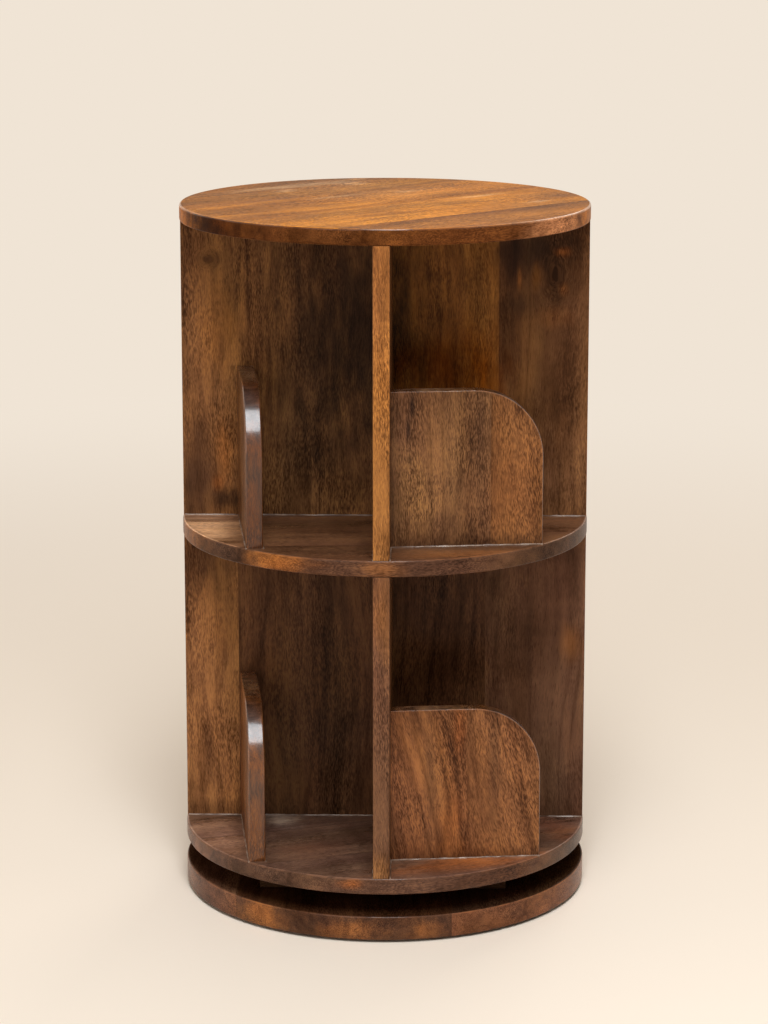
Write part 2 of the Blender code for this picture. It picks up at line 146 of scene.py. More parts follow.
def start_group(name, inputs, outputs):
    """A shader node group with its sockets. Returns the group, and the sockets of its two ends."""
    group = bpy.data.node_groups.new(name, "ShaderNodeTree")
    for socket, (kind, value) in inputs.items():
        group.interface.new_socket(socket, in_out="INPUT", socket_type=f"NodeSocket{kind}").default_value = value
    for socket, kind in outputs.items():
        group.interface.new_socket(socket, in_out="OUTPUT", socket_type=f"NodeSocket{kind}")
    return group, group.nodes.new("NodeGroupInput").outputs, group.nodes.new("NodeGroupOutput").inputs


def set_stops(made, stops):
    """Gives a colour ramp node its stops (position, colour)."""
    elements = made.color_ramp.elements
    while len(elements) < len(stops):
        elements.new(0.5)
    while len(elements) > len(stops):
        elements.remove(elements[-1])
    for element, (position, colour) in zip(elements, stops):
        element.position = position
        element.color = colour


def make_stained_grain():
    """Stained wood on a board's own coordinates: X along the grain, Y across it and Z through the board.

    Slant leans the grain, Sway and Curl bend it, and Bands to Veins are the strengths of its figure. Gloss is the
    roughness under the lacquer, Lacquer the coat's share, and Polish what the arrises have more of it, or less.
    """
    group, given, out = start_group(
        "stained_grain",
        {
            "Vector": ("Vector", (0, 0, 0)), "Seed": ("Float", 0), "Stain And Painted Light": ("Color", tone(130, 82, 48)),
            "Arris": ("Float", 0), "Slant": ("Float", 0), "Sway": ("Float", 1), "Curl": ("Float", 1),
            "Bands": ("Float", 0.7), "Streaks": ("Float", 0.6), "Flecks": ("Float", 0.6), "Mottle": ("Float", 0.3),
            "Clouds": ("Float", 0.6), "Veins": ("Float", 0.35), "Gloss": ("Float", 0.35), "Lacquer": ("Float", 0.2),
            "Polish": ("Float", 0.8),
        },
        {"Colour": "Color", "Roughness": "Float", "Coat": "Float", "Height": "Float"},
    )

    def centred(value):
        return calc(group, "SUBTRACT", value, 0.5)

    def centred_vector(value, reach):
        return calc_vector(group, "MULTIPLY", calc_vector(group, "SUBTRACT", value, (0.5, 0.5, 0.5)), reach)

    away = add_node(group, "ShaderNodeCombineXYZ")
    for axis, step in enumerate((7.31, 13.17, 5.93)):
        group.links.new(calc(group, "MULTIPLY", given["Seed"], step), away.inputs[axis])
    place = calc_vector(group, "ADD", given["Vector"], away.outputs[0])
    length = add_node(group, "ShaderNodeSeparateXYZ", {0: given["Vector"]}).outputs["X"]
    lean = add_node(group, "ShaderNodeCombineXYZ", {"Y": calc(group, "MULTIPLY", length, given["Slant"])})
    leaning = calc_vector(group, "ADD", place, lean.outputs[0])

    slow = centred_vector(noise(group, place, (3, 9, 9), 1).outputs[1], (0, 0.05, 0.03))
    swayed = calc_vector(group, "ADD", leaning, scale(group, slow, given["Sway"]))
    quick = centred_vector(noise(group, place, (60, 50, 50), 2).outputs[1], (0.005, 0.004, 0.004))
    curled = calc_vector(group, "ADD", swayed, scale(group, quick, given["Curl"]))

    bands = noise(group, swayed, (1.3, 30, 24), 2).outputs[0]
    streaks = noise(group, curled, (13, 150, 130), 2, 0.6).outputs[0]
    dashes = ramp(group, noise(group, curled, (190, 1150, 1000), 1).outputs[0], 0.3, 0.7, 0.0, 0.6)
    flecks = calc(group, "MULTIPLY_ADD", noise(group, curled, (380, 2200, 2000), 1).outputs[0], 0.4, dashes)
    rich = ramp(group, noise(group, swayed, (12, 30, 30), 2).outputs[0], 0.35, 0.65, 0.5, 1.4)
    flecks = calc(group, "MULTIPLY_ADD", centred(flecks), rich, 0.5)
    mottle = noise(group, swayed, (34, 12, 12), 2).outputs[0]
    clouds = noise(group, swayed, (8, 20, 20), 3, 0.6).outputs[0]
    pores = ramp(group, noise(group, curled, (100, 1500, 1500), 0).outputs[0], 0.60, 0.74)

    light = 0.5
    for name, value in (
        ("Bands", bands), ("Streaks", streaks), ("Flecks", flecks), ("Mottle", mottle), ("Clouds", clouds)
    ):
        light = calc(group, "ADD", calc(group, "MULTIPLY", centred(value), given[name]), light)
    toned = add_node(group, "ShaderNodeValToRGB", {"Fac": light})
    tones = (
        (0.0, (0.11, 0.09, 0.07, 1)), (0.25, (0.26, 0.24, 0.21, 1)), (0.50, (0.50, 0.50, 0.50, 1)),
        (0.75, (0.80, 0.83, 0.76, 1)), (1.0, (1.0, 1.05, 0.90, 1)),
    )
    set_stops(toned, tones)
    colour = calc_vector(group, "MULTIPLY", toned.outputs["Color"], (2, 2, 2))
    colour = calc_vector(group, "MULTIPLY", colour, given["Stain And Painted Light"])
    drift = centred_vector(noise(group, swayed, (4, 22, 18), 2).outputs[1], (0.15, 0.16, 0.35))
    colour = calc_vector(group, "MULTIPLY", colour, calc_vector(group, "ADD", drift, (1, 1, 1)))

    vein = calc(group, "ABSOLUTE", centred(noise(group, swayed, (2, 24, 20), 2, 0.6).outputs[0]))
    vein = calc(group, "MULTIPLY", ramp(group, vein, 0.04, 0.0), given["Veins"])
    colour = mix(group, vein, colour, (0.34, 0.28, 0.24, 1), "MULTIPLY")
    colour = mix(group, calc(group, "MULTIPLY", pores, 0.45), colour, (0.28, 0.22, 0.18, 1), "MULTIPLY")

    rubbed = ramp(group, noise(group, place, (90, 90, 90), 2).outputs[0], 0.42, 0.60, 0.10, 0.60)
    bare = calc_vector(group, "MULTIPLY", given["Stain And Painted Light"], (1.7, 1.65, 1.5))
    colour = mix(group, calc(group, "MULTIPLY", given["Arris"], rubbed), colour, bare)
    group.links.new(colour, out["Colour"])

    rough = calc(group, "MULTIPLY_ADD", centred(clouds), 0.22, given["Gloss"])
    group.links.new(calc(group, "MULTIPLY_ADD", pores, 0.15, rough), out["Roughness"])
    coat = calc(group, "MULTIPLY_ADD", given["Arris"], given["Polish"], given["Lacquer"])
    group.links.new(calc(group, "MULTIPLY", coat, ramp(group, clouds, 0.3, 0.7, 0.5, 1.5)), out["Coat"])
    group.links.new(calc(group, "MULTIPLY_ADD", pores, -0.8, calc(group, "MULTIPLY", flecks, 0.6)), out["Height"])
    return group


def make_patch():
    """A soft patch of another tone, broken up along its edge."""
    group, given, out = start_group(
        "soft_patch",
        {"Vector": ("Vector", (0, 0, 0)), "Centre": ("Vector", (0, 0, 0)), "Reach": ("Vector", (1, 1, 1))},
        {"Mask": "Float"},
    )
    offset = calc_vector(group, "SUBTRACT", given["Vector"], given["Centre"])
    distance = calc_vector(group, "LENGTH", calc_vector(group, "DIVIDE", offset, given["Reach"]))
    ragged = calc(group, "SUBTRACT", noise(group, given["Vector"], (30, 90, 90), 2).outputs[0], 0.5)
    group.links.new(ramp(group, calc(group, "MULTIPLY_ADD", ragged, 1.2, distance), 1.3, 0.0), out["Mask"])
    return group


def make_knot():
    """A knot: pushes the grain around its centre and darkens towards it."""
    group, given, out = start_group(
        "knot",
        {"Vector": ("Vector", (0, 0, 0)), "Centre": ("Vector", (0, 0, 0)), "Reach": ("Vector", (1, 1, 1))},
        {"Vector": "Vector", "Mask": "Float"},
    )
    offset = calc_vector(group, "SUBTRACT", given["Vector"], given["Centre"])
    distance = calc_vector(group, "LENGTH", calc_vector(group, "DIVIDE", offset, given["Reach"]))
    ragged = noise(group, given["Vector"], (60, 60, 60), 2).outputs[0]
    distance = calc(group, "ADD", distance, calc(group, "MULTIPLY_ADD", ragged, 0.8, -0.4))
    near = calc(group, "POWER", 0.37, calc(group, "MULTIPLY", distance, distance))
    pull = scale(group, offset, calc(group, "MULTIPLY", near, -0.88))
    group.links.new(calc_vector(group, "ADD", given["Vector"], pull), out["Vector"])
    wave = calc(group, "SINE", calc(group, "MULTIPLY", distance, 13))
    rings = calc(group, "MULTIPLY", near, calc(group, "MULTIPLY_ADD", wave, 0.35, 0.35))
    group.links.new(calc(group, "MAXIMUM", rings, ramp(group, distance, 0.75, 0.45)), out["Mask"])
    return group


stained_grain = make_stained_grain()
soft_patch = make_patch()
knot = make_knot()
UPRIGHT = (0, 0, 1)
STAVE_SPAN = 0.42
FIRST_STAVE = -STAVE_SPAN / 2
SEED_STEP = 1 / 8
GLUE_JOINT = 0.0008
THROUGH = 0.1
KNOT_SHADE = (0.25, 0.2, 0.18, 1)
COAT_ROUGHNESS = 0.15
GRAIN_RELIEF = 0.25
GRAIN_DEPTH = 0.0005


def stained_wood(
    name, grain, across, origin, staves, patches=(), calm=(), knots=(), joint=0.6, shine=0.08, **figure
):
    """The finish of one board.

    Staves are (start across the board, stain), and joint is how much of their light the glue joints keep. Patches
    are (centre, reach, tone, share) with their reach along, across and through the board: most tones are stain,
    others are painted shade, painted highlights and painted reflections. Calm places, where the grain hardly shows,
    and knots are (centre, reach, share). Figure holds inputs of the stained grain.
    """
    material, tree, shader, here = start_finish(name)
    bent, dark = here, []
    for centre, reach, share in knots:
        swirl = add_node(
            tree, "ShaderNodeGroup", {"Vector": bent, "Centre": centre, "Reach": reach}, node_tree=knot
        )
        bent = swirl.outputs["Vector"]
        dark.append((swirl.outputs["Mask"], share))
    along, wide = Vector(grain).normalized(), Vector(across).normalized()
    turn = Matrix((along, wide, along.cross(wide)))
    lay = {"Location": origin, "Rotation": turn.transposed().to_euler()}
    board = add_node(tree, "ShaderNodeMapping", {"Vector": bent, **lay}, vector_type="TEXTURE").outputs[0]
    flat = add_node(tree, "ShaderNodeMapping", {"Vector": here, **lay}, vector_type="TEXTURE").outputs[0]

    def position(start):
        return max(0.0, start / STAVE_SPAN + 0.5)

    stops = []
    for number, (start, colour) in enumerate(staves):
        seed = (number + 1) * SEED_STEP
        if number:
            stops.append((position(start - GLUE_JOINT / 2), (*(part * joint for part in colour[:3]), seed)))
            start += GLUE_JOINT / 2
        stops.append((position(start), (*colour[:3], seed)))
    sideways = add_node(tree, "ShaderNodeSeparateXYZ", {0: board}).outputs["Y"]
    stave = add_node(tree, "ShaderNodeValToRGB", {"Fac": calc(tree, "MULTIPLY_ADD", sideways, 1 / STAVE_SPAN, 0.5)})
    stave.color_ramp.interpolation = "CONSTANT"
    set_stops(stave, stops)

    def patch_mask(centre, reach):
        middle = turn @ (Vector(centre) - Vector(origin))
        inputs = {"Vector": flat, "Centre": middle, "Reach": reach}
        return add_node(tree, "ShaderNodeGroup", inputs, node_tree=soft_patch).outputs["Mask"]

    colour = stave.outputs["Color"]
    for centre, reach, tint, share in patches:
        colour = mix(tree, calc(tree, "MULTIPLY", patch_mask(centre, reach), share), colour, tint)
    for centre, reach, share in calm:
        left = calc(tree, "MULTIPLY_ADD", patch_mask(centre, reach), -share, 1.0)
        for strength in ("flecks", "streaks"):
            figure[strength] = calc(tree, "MULTIPLY", left, figure[strength])
    for mask, share in dark:
        colour = mix(tree, calc(tree, "MULTIPLY", mask, share), colour, KNOT_SHADE, "MULTIPLY")

    worn = add_node(tree, "ShaderNodeAttribute", attribute_name="arris").outputs["Fac"]
    # The colour under the grain is the stain, with the painted shade, highlights and reflections of some patches.
    wood = add_node(
        tree, "ShaderNodeGroup",
        {"Vector": board, "Seed": stave.outputs["Alpha"], "Stain And Painted Light": colour, "Arris": worn,
         **{key.capitalize(): value for key, value in figure.items()}},
        node_tree=stained_grain,
    )
    tree.links.new(wood.outputs["Colour"], shader.inputs["Base Color"])
    tree.links.new(wood.outputs["Roughness"], shader.inputs["Roughness"])
    tree.links.new(wood.outputs["Coat"], shader.inputs["Coat Weight"])
    shader.inputs["Specular IOR Level"].default_value = shine
    shader.inputs["Coat Roughness"].default_value = COAT_ROUGHNESS
    emboss(tree, shader, wood.outputs["Height"], GRAIN_RELIEF, GRAIN_DEPTH)
    return material


def choose_edges(piece, chosen):
    """Goes into edit mode with the edges selected for which chosen says yes to their two ends."""
    bpy.ops.object.mode_set(mode="EDIT")
    bpy.ops.mesh.select_mode(type="EDGE")
    bpy.ops.mesh.select_all(action="DESELECT")
    bpy.ops.object.mode_set(mode="OBJECT")
    corners = piece.data.vertices
    for edge in piece.data.edges:
        edge.select = chosen(*(corners[index].co for index in edge.vertices))
    bpy.ops.object.mode_set(mode="EDIT")


UNDERSIDE = -0.1


def ease(piece, chosen, width, steps=4):
    """Rounds the chosen edges of a piece. Those that don't face down are marked in its attribute arris, which is
    where the stain wears thin."""
    choose_edges(piece, chosen)
    bpy.ops.mesh.bevel(offset=width, segments=steps, profile=0.5, affect="EDGES")
    bpy.ops.object.mode_set(mode="OBJECT")
    mesh = piece.data
    if "arris" not in mesh.attributes:
        mesh.attributes.new("arris", "FLOAT", "POINT")
    strips = [face for face in mesh.polygons if face.select and len(face.vertices) == 4]
    flats = [face for face in mesh.polygons if not face.select or len(face.vertices) > 4]
    for index in {i for face in strips for i in face.vertices} - {i for face in flats for i in face.vertices}:
        if mesh.vertices[index].normal.z > UNDERSIDE:
            mesh.attributes["arris"].data[index].value = 1.0


HOLE_SIDES = 48


def drill(board, centre, radius):
    """Drills a round hole right through a board."""
    bpy.ops.mesh.primitive_cylinder_add(vertices=HOLE_SIDES, radius=radius, depth=1, location=centre)
    bit = bpy.context.object
    hole = board.modifiers.new("hole", "BOOLEAN")
    hole.operation = "DIFFERENCE"
    hole.object = bit
    bpy.context.view_layer.objects.active = board
    bpy.ops.object.modifier_apply(modifier=hole.name)
    bpy.data.objects.remove(bit)
    board.select_set(True)


SMOOTH_ANGLE = math.radians(40)


def smooth(piece):
    """Smooth rounded edges beside flat faces."""
    bpy.ops.object.shade_smooth_by_angle(angle=SMOOTH_ANGLE)
    flats = piece.modifiers.new("flats", "WEIGHTED_NORMAL")
    flats.keep_sharp = True
    bpy.ops.object.modifier_apply(modifier=flats.name)


EDGE_TILT = 0.6


def finish_board(piece, face_finish, edge_finish, is_edge):
    """Gives a board its two finishes: one on its faces, one on the edges that their normals pick out."""
    piece.data.materials.append(face_finish)
    piece.data.materials.append(edge_finish)
    for face in piece.data.polygons:
        face.material_index = int(is_edge(face.normal))


def fit(piece, node, body):
    """Puts a finished board in the place of its CAD node."""
    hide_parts(node)
    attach(piece, body)
    piece.select_set(False)


DISC_SIDES = 240
RIM_ARRIS = 0.0020
TOUCH = 1e-6


def round_board(name, node, body, face_finish, rim_finish, holes=()):
    """A disc with an eased rim and drilled holes (centre, radius) that stands for a round CAD node."""
    low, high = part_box(node)
    bpy.ops.mesh.primitive_cylinder_add(
        vertices=DISC_SIDES, radius=high.x, depth=high.z - low.z, location=(0, 0, (low.z + high.z) / 2)
    )
    board = bpy.context.object
    board.name = name
    bpy.ops.object.transform_apply(location=True, rotation=False, scale=False)
    ease(board, lambda start, end: abs(start.z - end.z) < TOUCH, RIM_ARRIS)
    for centre, radius in holes:
        drill(board, centre, radius)
    smooth(board)
    finish_board(board, face_finish, rim_finish, lambda normal: abs(normal.z) < EDGE_TILT)
    fit(board, node, body)


base_grain = {"grain": (0, 1, 0), "across": (-1, 0, 0), "origin": (0, 0, 0.014)}
base_finish = stained_wood(
    "base_finish", **base_grain, lacquer=0.0, shine=0.0, polish=0.2,
    # The faces take the dark stain and are darker still than the rim: painted shade in the gap under the bottom
    # shelf.
    staves=[(FIRST_STAVE, tone(52, 32, 20)), (-0.068, tone(58, 34, 20)), (0.141, tone(86, 57, 41))],
)
base_rim_finish = stained_wood(
    "base_rim_finish", **base_grain, flecks=0.5, mottle=0.3, clouds=0.4, lacquer=0.2, polish=0.1,
    staves=[(FIRST_STAVE, tone(116, 71, 44)), (-0.068, tone(80, 49, 30)), (0.141, tone(114, 71, 47))],
    patches=[((-0.118, -0.162, 0.014), (0.06, 0.024, 0.018), tone(160, 98, 46), 0.8),
             ((-0.030, -0.198, 0.010), (0.05, 0.034, 0.012), tone(152, 92, 44), 0.6),
             ((0.045, -0.195, 0.010), (0.05, 0.018, 0.012), tone(152, 92, 44), 0.6)],
)
SCREW_HOLE = ((0, 0.1414, 0), 0.009)
round_board("base_board", "base_disc", "base", base_finish, base_rim_finish, [SCREW_HOLE])


# Packing block: a square of solid wood glued on the base, which lifts the bearing off it. It is stained dark
# with the rest, and its CAD node stays in view, deep in the gap.

block_finish = stained_wood(
    "block_finish", grain=(1, 0, 0), across=(0, 1, 0), origin=(0, 0, 0.033), lacquer=0.05,
    staves=[(FIRST_STAVE, tone(66, 44, 30)), (0.0, tone(60, 40, 28))],
)
dress(block_finish, "packing_block")


# Bearing: two pressed plates of zinc-plated steel with balls between them in a moulded cage, held to block
# and bottom shelf by pan-head wood screws. All its CAD nodes stay in view.

def steel(name, bright, dull, crystals, gloss):
    """Bright steel with the crystals of its plating, a film of grease and fine scuffs."""
    material, tree, shader, here = start_finish(name)
    flakes = add_node(
        tree, "ShaderNodeTexVoronoi", {"Vector": calc_vector(tree, "MULTIPLY", here, (260, 260, 260)), "Scale": 1.0}
    ).outputs["Color"]
    flake = add_node(tree, "ShaderNodeSeparateColor", {0: flakes}).outputs[0]
    film = noise(tree, here, (60, 60, 60), 3, 0.6).outputs[0]
    scuffs = noise(tree, here, (1500, 90, 400), 2, 0.6).outputs[0]
    colour = mix(tree, calc(tree, "MULTIPLY", flake, crystals), bright, dull)
    colour = mix(tree, ramp(tree, film, 0.45, 0.7, 0.0, 0.5), colour, dull)
    tree.links.new(colour, shader.inputs["Base Color"])
    rough = calc(tree, "MULTIPLY_ADD", ramp(tree, film, 0.35, 0.7), 0.18, gloss)
    rough = calc(tree, "MULTIPLY_ADD", ramp(tree, scuffs, 0.5, 0.75), 0.12, rough)
    tree.links.new(rough, shader.inputs["Roughness"])
    shader.inputs["Metallic"].default_value = 1.0
    emboss(tree, shader, scuffs, strength=0.15, depth=0.0002)
    return material


plate_finish = steel("plate_finish", tone(196, 197, 200), tone(150, 152, 156), crystals=0.7, gloss=0.28)
dress(
    plate_finish, "swivel_lower_plate", "swivel_upper_plate",
    *(f"{level}_plate_screw_{number}" for level in ("lower", "upper") for number in range(1, 5)),
)
ball_finish = steel("ball_finish", tone(208, 208, 210), tone(170, 168, 164), crystals=0.1, gloss=0.12)
dress(ball_finish, *(f"swivel_ball_{number:02d}" for number in range(1, 13)))

cage_finish, cage, cage_shader, here = start_finish("cage_finish")
pebble = noise(cage, here, (900, 900, 900), 2).outputs[0]
cloudy = noise(cage, here, (45, 45, 45), 2).outputs[0]
moulded = mix(cage, ramp(cage, cloudy, 0.35, 0.7), tone(52, 51, 50), tone(74, 72, 70))
moulded = mix(cage, ramp(cage, pebble, 0.5, 0.75, 0.0, 0.35), moulded, tone(96, 94, 91))
cage.links.new(moulded, cage_shader.inputs["Base Color"])
cage.links.new(ramp(cage, cloudy, 0.3, 0.7, 0.38, 0.55), cage_shader.inputs["Roughness"])
emboss(cage, cage_shader, pebble, strength=0.3, depth=0.0002)
dress(cage_finish, "swivel_ball_cage")


# Bottom shelf: the round board that carries the lower tier. Glued up from staves as the base is, with
# housings below the walls, and screwed to the bearing from underneath.

bottom_grain = {"grain": (0.94, 0.34, 0), "across": (-0.34, 0.94, 0), "origin": (0, 0, 0.056)}
bottom_finish = stained_wood(
    "bottom_finish", **bottom_grain, bands=0.45, streaks=0.3, flecks=0.5, mottle=0.5, clouds=1.0, veins=0.2,
    lacquer=0.5, gloss=0.3, polish=-0.3,
    staves=[(FIRST_STAVE, tone(104, 74, 60)), (-0.11, tone(112, 80, 64)), (-0.02, tone(100, 71, 58)),
            (0.08, tone(105, 73, 57))],
    patches=[((0.080, -0.150, 0.064), (0.090, 0.025, THROUGH), tone(150, 82, 36), 0.8),
             ((0.175, -0.050, 0.064), (0.025, 0.060, THROUGH), tone(120, 66, 40), 0.6),
             # Pale patch at the left: painted sheen.
             ((-0.165, -0.060, 0.064), (0.045, 0.070, THROUGH), tone(162, 120, 97), 0.8),
             # Pale hazy worn mark, partly painted sheen.
             ((-0.105, -0.020, 0.064), (0.024, 0.030, THROUGH), tone(158, 132, 118), 0.9),
             ((-0.070, -0.115, 0.064), (0.040, 0.030, THROUGH), tone(112, 70, 52), 0.5)],
)
bottom_rim_finish = stained_wood(
    "bottom_rim_finish", **bottom_grain, joint=1.0, flecks=0.5, clouds=0.7, lacquer=0.2, polish=0.0,
    staves=[(FIRST_STAVE, tone(90, 61, 45))],
    patches=[((-0.188, -0.060, 0.056), (0.060, 0.060, THROUGH), tone(122, 76, 46), 0.7),
             ((-0.028, -0.198, 0.058), (0.012, 0.02, 0.006), tone(150, 86, 40), 0.7),
             ((0.120, -0.160, 0.056), (0.090, 0.06, 0.020), tone(78, 46, 25), 0.85)],
)
round_board("bottom_shelf_board", "bottom_shelf", "cabinet", bottom_finish, bottom_rim_finish)


# Middle shelf: floor of the upper tier and ceiling of the lower one, made as the bottom shelf is.
# One of its front staves is paler and takes the stain with a golden tone; the pale patch at the left of its upper
# face is a painted reflection.

middle_grain = {"grain": (1, 0.06, 0), "across": (-0.06, 1, 0), "origin": (0, 0, 0.367)}
middle_finish = stained_wood(
    "middle_finish", **middle_grain, bands=0.6, streaks=0.4, flecks=0.5, clouds=1.2, veins=0.2,
    lacquer=0.5, gloss=0.3, polish=-0.3,
    staves=[(FIRST_STAVE, tone(94, 61, 42)), (-0.135, tone(108, 71, 48)), (-0.03, tone(102, 66, 44)),
            (0.07, tone(108, 71, 47))],
    # Pale patch at the left of the upper face: painted reflection.
    patches=[((-0.172, -0.065, 0.375), (0.045, 0.085, THROUGH), tone(222, 168, 126), 0.9),
             ((0.070, -0.172, 0.375), (0.080, 0.020, THROUGH), tone(136, 80, 38), 0.5),
             # Darker on the floor of the upper left bay: painted shade.
             ((-0.040, -0.120, 0.375), (0.060, 0.080, THROUGH), tone(84, 52, 36), 0.5)],
)
middle_rim_finish = stained_wood(
    "middle_rim_finish", **middle_grain, joint=1.0, flecks=0.5, clouds=0.7, lacquer=0.1, shine=0.05, polish=0.1,
    staves=[(FIRST_STAVE, tone(82, 54, 38))],
    patches=[((-0.188, -0.060, 0.367), (0.060, 0.060, THROUGH), tone(146, 90, 44), 0.8),
             ((-0.100, -0.173, 0.367), (0.045, 0.04, 0.014), tone(156, 94, 44), 0.8),
             ((0.0, -0.2, 0.367), (0.024, 0.03, 0.010), tone(150, 96, 52), 0.6)],
)
round_board("middle_shelf_board", "middle_shelf", "cabinet", middle_finish, middle_rim_finish)


# Top panel: the round table top. Staves of lighter wood run slantwise across it, with a thinner stain, so
# that golden and brown bands show under the lacquer. Its upper face is made lighter and more golden still than its
# underside: that is painted light and painted warm reflection from above.

top_grain = {"grain": (0.747, 0.665, 0), "across": (-0.665, 0.747, 0), "origin": (0, 0, 0.678)}
top_finish = stained_wood(
    "top_finish", **top_grain, bands=0.9, streaks=0.45, flecks=0.65, clouds=0.6, veins=0.15, sway=1.6,
    lacquer=0.03, shine=0.01, joint=0.9,
    # The upper face's golden stave tones are partly painted light and painted warm reflection.
    staves=[(FIRST_STAVE, tone(147, 88, 34)), (-0.120, tone(181, 111, 33)), (-0.020, tone(170, 103, 33)),
            (0.075, tone(151, 91, 35)), (0.140, tone(144, 86, 33))],
    patches=[((0.150, -0.105, 0.686), (0.080, 0.035, THROUGH), tone(128, 76, 28), 0.6),
             ((0.170, 0.070, 0.686), (0.070, 0.050, THROUGH), tone(140, 84, 30), 0.8),
             ((-0.115, -0.115, 0.686), (0.090, 0.060, THROUGH), tone(136, 80, 28), 0.8),
             ((-0.060, 0.100, 0.686), (0.120, 0.070, THROUGH), tone(176, 114, 52), 0.6),
             ((0.010, 0.065, 0.686), (0.070, 0.030, THROUGH), tone(206, 136, 62), 0.5),
             # Pale scuffs along the grain, which also stand for a painted sheen on the lacquer.
             ((-0.090, 0.130, 0.686), (0.110, 0.014, THROUGH), tone(204, 160, 118), 0.6),
             ((-0.046, 0.040, 0.686), (0.040, 0.006, THROUGH), tone(206, 160, 116), 0.55),
             ((-0.040, 0.150, 0.686), (0.022, 0.020, THROUGH), tone(206, 160, 120), 0.5),
             ((-0.100, 0.085, 0.686), (0.018, 0.012, THROUGH), tone(206, 160, 120), 0.5),
             ((0.020, 0.085, 0.686), (0.020, 0.008, THROUGH), tone(214, 164, 112), 0.5),
             ((0.090, 0.045, 0.686), (0.040, 0.007, THROUGH), tone(206, 160, 116), 0.5),
             ((0.150, 0.005, 0.686), (0.020, 0.006, THROUGH), tone(206, 160, 116), 0.6),
             # The underside keeps the brown stain of the other boards, without the painted light of the upper face.
             ((0, 0, 0.670), (1, 1, 0.006), tone(104, 66, 38), 0.9)],
)
top_rim_finish = stained_wood(
    "top_rim_finish", **top_grain, joint=1.0, flecks=0.5, clouds=0.7, lacquer=0.03, shine=0.02,
    staves=[(FIRST_STAVE, tone(94, 53, 24))],
    patches=[((-0.165, -0.110, 0.678), (0.100, 0.100, THROUGH), tone(50, 22, 4), 0.9),
             ((-0.150, -0.132, 0.682), (0.02, 0.02, 0.006), tone(120, 64, 20), 0.3),
             ((-0.196, -0.036, 0.678), (0.055, 0.060, THROUGH), tone(190, 110, 20), 0.9),
             # Paler at the front right: painted reflection.
             ((0.165, -0.113, 0.678), (0.05, 0.05, 0.05), tone(200, 136, 90), 0.9),
             ((0.197, -0.030, 0.678), (0.045, 0.045, THROUGH), tone(186, 110, 36), 0.8)],
)
round_board("top_board", "top_panel", "cabinet", top_finish, top_rim_finish)


# Walls: in each tier a cross wall from left to right and a divider to the front and to the back. Upright
# boards glued edge to edge, housed in the round boards, with eased outer edges.

WALL_ARRIS = 0.0010


def wall(name, node, floor_node, ceiling_node, face_finish, edge_finish):
    """A wall that stands for a CAD node, from the shelf below right up to the board above."""
    low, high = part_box(node)
    low.z, high.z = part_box(floor_node)[1].z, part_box(ceiling_node)[0].z
    bpy.ops.mesh.primitive_cube_add(size=1, location=(low + high) / 2, scale=high - low)
    board = bpy.context.object
    board.name = name
    bpy.ops.object.transform_apply(location=True, rotation=False, scale=True)
    ease(board, lambda start, end: abs(start.z - end.z) > TOUCH, WALL_ARRIS)
    smooth(board)
    lengthways = Vector((1, 0, 0)) if high.x - low.x > high.y - low.y else Vector((0, 1, 0))
    finish_board(board, face_finish, edge_finish, lambda normal: abs(normal.dot(lengthways)) > EDGE_TILT)
    fit(board, node, "cabinet")


